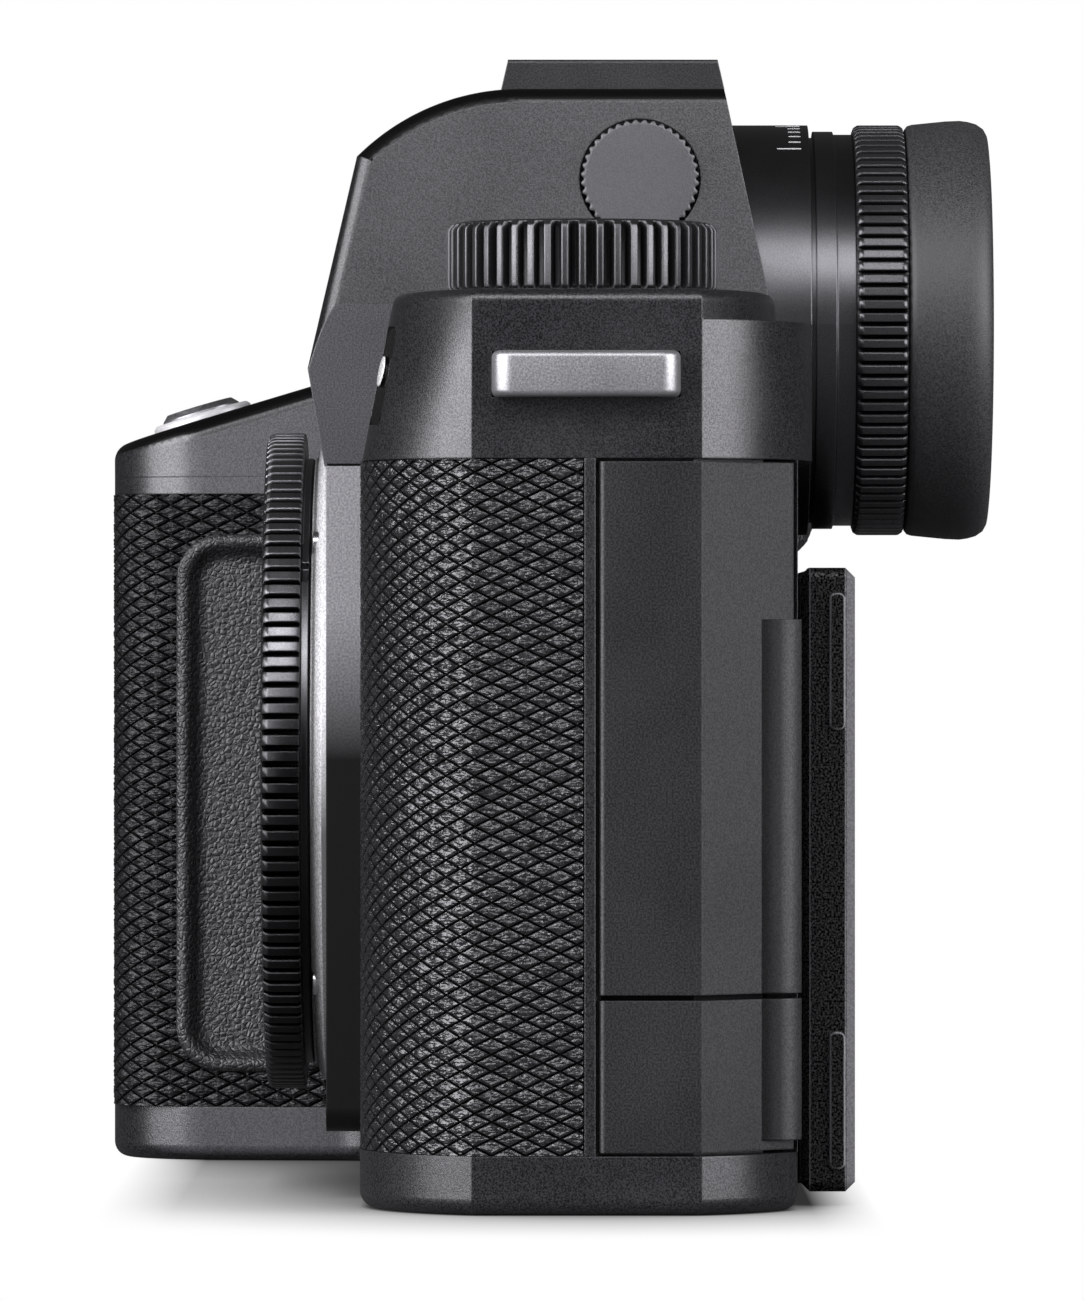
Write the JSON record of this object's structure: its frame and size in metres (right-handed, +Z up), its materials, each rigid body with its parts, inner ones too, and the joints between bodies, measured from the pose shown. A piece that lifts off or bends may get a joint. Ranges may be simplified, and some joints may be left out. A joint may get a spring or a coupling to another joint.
{
  "type": "mirrorless camera",
  "caption": "Boxy mirrorless camera body with a deep grip, viewfinder hump and round eyepiece, tilting rear screen, knurled dials, port doors and a body cap over its lens mount.",
  "frame": {"origin": "mouth of the tripod socket on the base, under the lens axis", "axes": "+X viewer's left, -X grip side, -Y towards the subject, +Y the screen side, +Z up"},
  "size_m": [0.1476, 0.0862, 0.1078],
  "materials": {
    "body_paint": "fine textured satin paint",
    "leather": "embossed diamond grain",
    "black_anodised": "black anodised",
    "bright_steel": "polished",
    "gold_contact": "plated",
    "black_plastic": "matt",
    "rubber": "matt",
    "cast_metal": "black cast",
    "glass": "coated",
    "dark_glass": "gloss"
  },
  "bodies": {
    "camera": {"front_shell": "body_paint", "side_skin": "leather", "grip_skin": "leather", "finger_pad": "leather", "mount_panel": "body_paint", "mount_flange": "bright_steel", "flange_screws": "bright_steel", "mount_chassis": "cast_metal", "shutter_unit": "black_plastic", "sensor_stage": "black_plastic", "sensor_glass": "glass", "main_board": "black_plastic", "mount_contacts": "gold_contact", "top_cover": "body_paint", "left_lug": "bright_steel", "right_lug": "bright_steel", "rear_cover": "body_paint", "base_plate": "body_paint", "base_screws": "bright_steel", "tripod_bush": "bright_steel", "thumb_rest": "leather", "eyepiece_barrel": "black_anodised", "eyepiece_lens": "glass", "viewfinder_block": "black_plastic", "viewfinder_display": "dark_glass", "shutter_collar": "bright_steel", "shoe_rails": "bright_steel", "shoe_contacts": "gold_contact", "lamp_plate": "black_plastic", "display_glass": "dark_glass", "battery_bay": "black_plastic", "card_slots": "black_plastic", "port_panel": "black_plastic", "audio_jacks": "bright_steel", "data_sockets": "bright_steel"},
    "body_cap": {"body_cap": "black_anodised"},
    "lens_release": {"lens_release": "black_anodised"},
    "lock_pin": {"lock_pin": "bright_steel"},
    "mode_dial": {"mode_dial": "black_anodised"},
    "thumb_dial": {"thumb_dial": "black_anodised"},
    "side_dial": {"side_dial": "black_anodised"},
    "shutter_button": {"shutter_button": "black_anodised"},
    "top_key_left": {"top_key_left": "black_anodised"},
    "top_key_right": {"top_key_right": "black_anodised"},
    "power_button": {"power_button": "black_anodised"},
    "front_key": {"front_key": "black_anodised"},
    "play_key": {"play_key": "black_anodised"},
    "menu_key": {"menu_key": "black_anodised"},
    "joystick_ring": {"joystick_ring": "black_anodised"},
    "joystick_cap": {"joystick_cap": "black_anodised"},
    "battery": {"battery": "black_plastic"},
    "battery_lever": {"battery_lever": "black_plastic"},
    "card_door": {"card_door": "rubber"},
    "port_door_upper": {"port_door_upper": "rubber"},
    "port_door_lower": {"port_door_lower": "rubber"},
    "screen_arm": {"screen_arm": "black_plastic"},
    "eyepiece_ring": {"dioptre_ring": "black_anodised", "eyecup": "rubber"},
    "screen": {"screen_body": "black_plastic", "screen_glass": "dark_glass"}
  },
  "joints": [
    {"name": "cap_pull", "type": "slide", "parent": "camera", "child": "body_cap", "axis": [0, -1, 0], "range_m": [0, 0.06]},
    {"name": "release_press", "type": "slide", "parent": "camera", "child": "lens_release", "axis": [0, 1, 0], "range_m": [0, 0.0015], "stiffness_N_per_m": 600},
    {"name": "lock_pin_draw", "type": "slide", "parent": "camera", "child": "lock_pin", "axis": [0, 1, 0], "range_m": [0, 0.0015]},
    {"name": "mode_dial_turn", "type": "hinge", "parent": "camera", "child": "mode_dial", "pos_m": [0.042, 0.0004, 0.0842], "axis": [0, 0, 1], "continuous": true},
    {"name": "thumb_dial_turn", "type": "hinge", "parent": "camera", "child": "thumb_dial", "pos_m": [-0.062, 0.005, 0.0842], "axis": [0, 0, 1], "continuous": true},
    {"name": "side_dial_turn", "type": "hinge", "parent": "camera", "child": "side_dial", "pos_m": [0.018, 0.006, 0.096], "axis": [1, 0, 0], "range_deg": [-150, 150]},
    {"name": "eyepiece_ring_turn", "type": "hinge", "parent": "camera", "child": "eyepiece_ring", "pos_m": [0, 0.029, 0.0822], "axis": [0, 1, 0], "range_deg": [-45, 45]},
    {"name": "shutter_press", "type": "slide", "parent": "camera", "child": "shutter_button", "axis": [0, 0.2844, -0.9587], "range_m": [0, 0.001], "stiffness_N_per_m": 500},
    {"name": "top_key_left_press", "type": "slide", "parent": "camera", "child": "top_key_left", "axis": [0, 0, -1], "range_m": [0, 0.0006], "stiffness_N_per_m": 400},
    {"name": "top_key_right_press", "type": "slide", "parent": "camera", "child": "top_key_right", "axis": [0, 0, -1], "range_m": [0, 0.0006], "stiffness_N_per_m": 400},
    {"name": "power_press", "type": "slide", "parent": "camera", "child": "power_button", "axis": [0, -1, 0], "range_m": [0, 0.0005], "stiffness_N_per_m": 400},
    {"name": "front_key_press", "type": "slide", "parent": "camera", "child": "front_key", "axis": [0, 1, 0], "range_m": [0, 0.0008], "stiffness_N_per_m": 400},
    {"name": "play_press", "type": "slide", "parent": "camera", "child": "play_key", "axis": [0, -1, 0], "range_m": [0, 0.0006], "stiffness_N_per_m": 400},
    {"name": "menu_press", "type": "slide", "parent": "camera", "child": "menu_key", "axis": [0, -1, 0], "range_m": [0, 0.0006], "stiffness_N_per_m": 400},
    {"name": "joystick_nod", "type": "hinge", "parent": "camera", "child": "joystick_ring", "pos_m": [-0.052, 0.0165, 0.053], "axis": [1, 0, 0], "range_deg": [-8, 8], "stiffness_Nm_per_rad": 0.05},
    {"name": "joystick_sway", "type": "hinge", "parent": "joystick_ring", "child": "joystick_cap", "pos_m": [-0.052, 0.0165, 0.053], "axis": [0, 0, 1], "range_deg": [-8, 8], "stiffness_Nm_per_rad": 0.05},
    {"name": "battery_draw", "type": "slide", "parent": "camera", "child": "battery", "axis": [0, 0, -1], "range_m": [0, 0.056]},
    {"name": "battery_lever_push", "type": "slide", "parent": "camera", "child": "battery_lever", "axis": [1, 0, 0], "range_m": [0, 0.0042], "stiffness_N_per_m": 200},
    {"name": "card_door_swing", "type": "hinge", "parent": "camera", "child": "card_door", "pos_m": [-0.0775, -0.00205, 0.037], "axis": [0, 0, 1], "range_deg": [0, 100]},
    {"name": "upper_door_swing", "type": "hinge", "parent": "camera", "child": "port_door_upper", "pos_m": [0.06235, 0.00245, 0.044], "axis": [0, 0, -1], "range_deg": [0, 100]},
    {"name": "lower_door_swing", "type": "hinge", "parent": "camera", "child": "port_door_lower", "pos_m": [0.06235, 0.00245, 0.0126], "axis": [0, 0, -1], "range_deg": [0, 100]},
    {"name": "screen_swing", "type": "hinge", "parent": "camera", "child": "screen_arm", "pos_m": [0, 0.0216, 0.0026], "axis": [-1, 0, 0], "range_deg": [0, 42]},
    {"name": "screen_tilt", "type": "hinge", "parent": "screen_arm", "child": "screen", "pos_m": [0, 0.0222, 0.0572], "axis": [1, 0, 0], "range_deg": [0, 90]}
  ],
  "couplings": [
    {"joint": "lock_pin_draw", "follows": "release_press", "ratio": 1}
  ]
}
